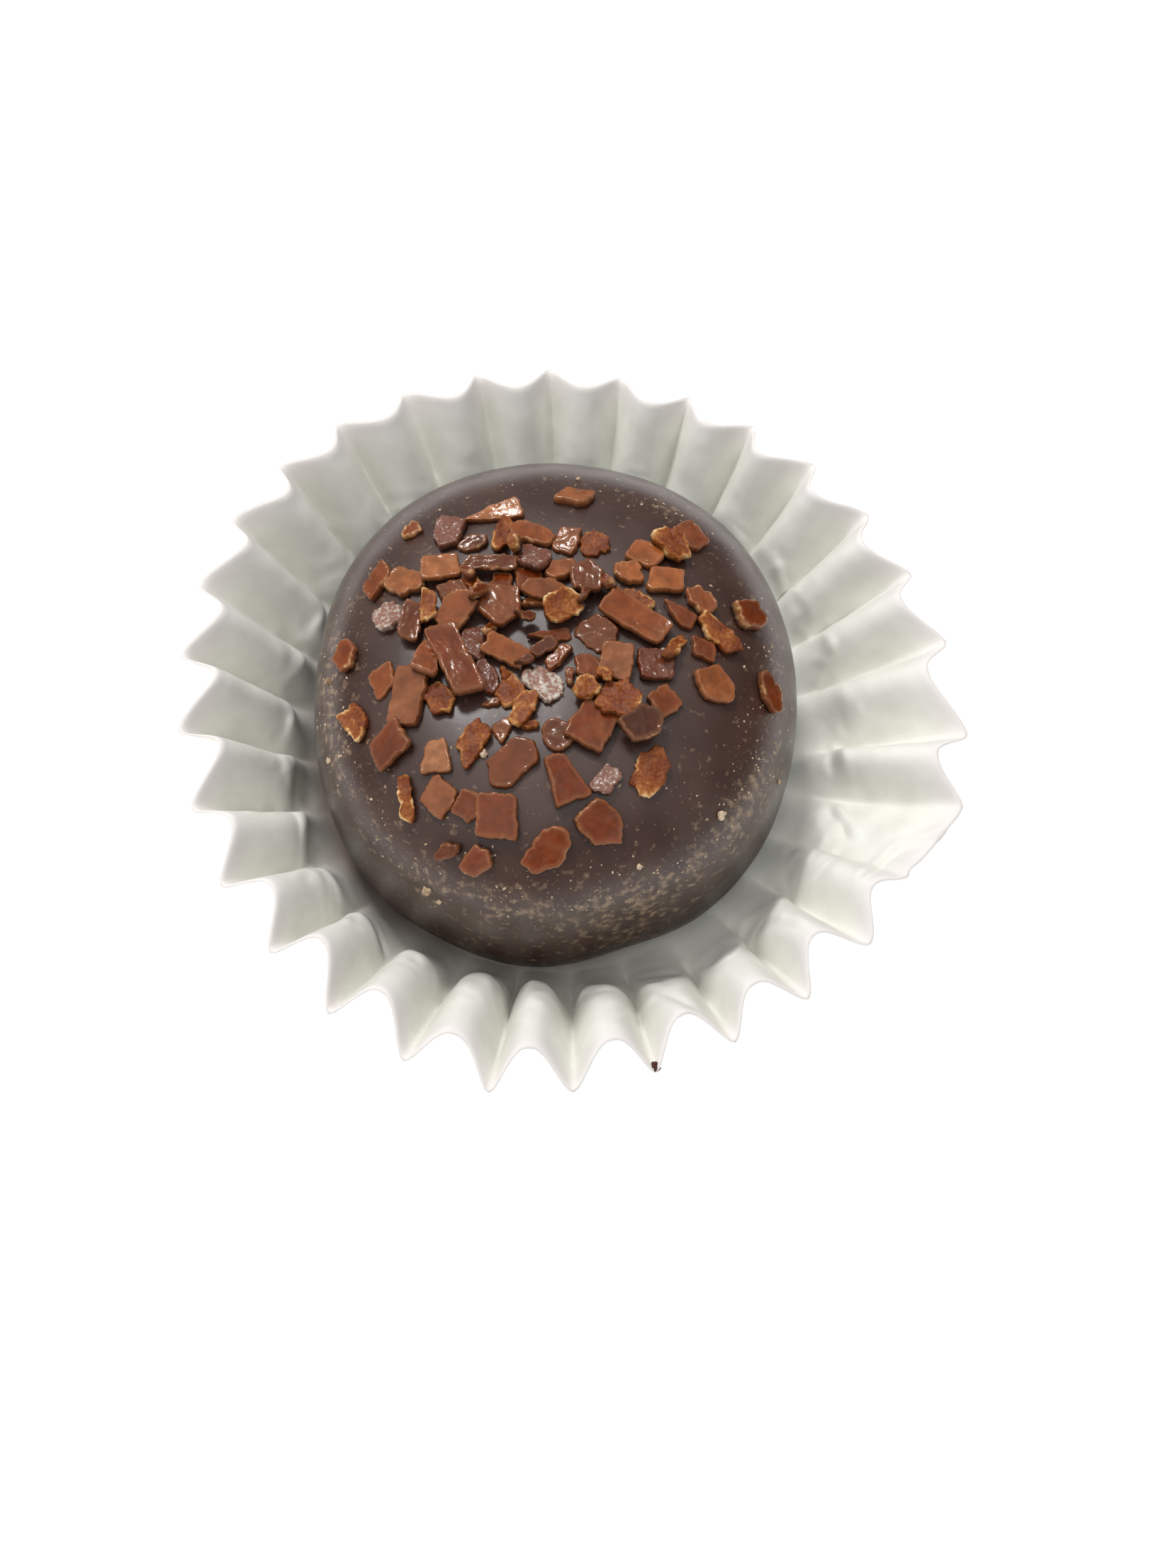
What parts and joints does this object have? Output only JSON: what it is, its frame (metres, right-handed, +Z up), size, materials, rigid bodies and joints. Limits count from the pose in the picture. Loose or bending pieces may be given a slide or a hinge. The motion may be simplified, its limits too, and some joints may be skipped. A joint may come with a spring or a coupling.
{
  "type": "chocolate truffle in a paper case",
  "caption": "Squat domed dark chocolate truffle topped with chocolate flakes and biscuit crumbs, sitting in a splayed white pleated paper case.",
  "frame": {"origin": "centre of the flat underside of the paper case, on the surface it stands on", "axes": "+Z up, +X to the right and -Y to the front, with the most splayed pleats at the right"},
  "size_m": [0.0524, 0.0515, 0.0162],
  "materials": {
    "chocolate": "satin dark chocolate with a soft sheen",
    "case_paper": "thin matte greaseproof paper"
  },
  "bodies": {
    "root": {"truffle": "chocolate", "paper_case": "case_paper"}
  },
  "joints": []
}
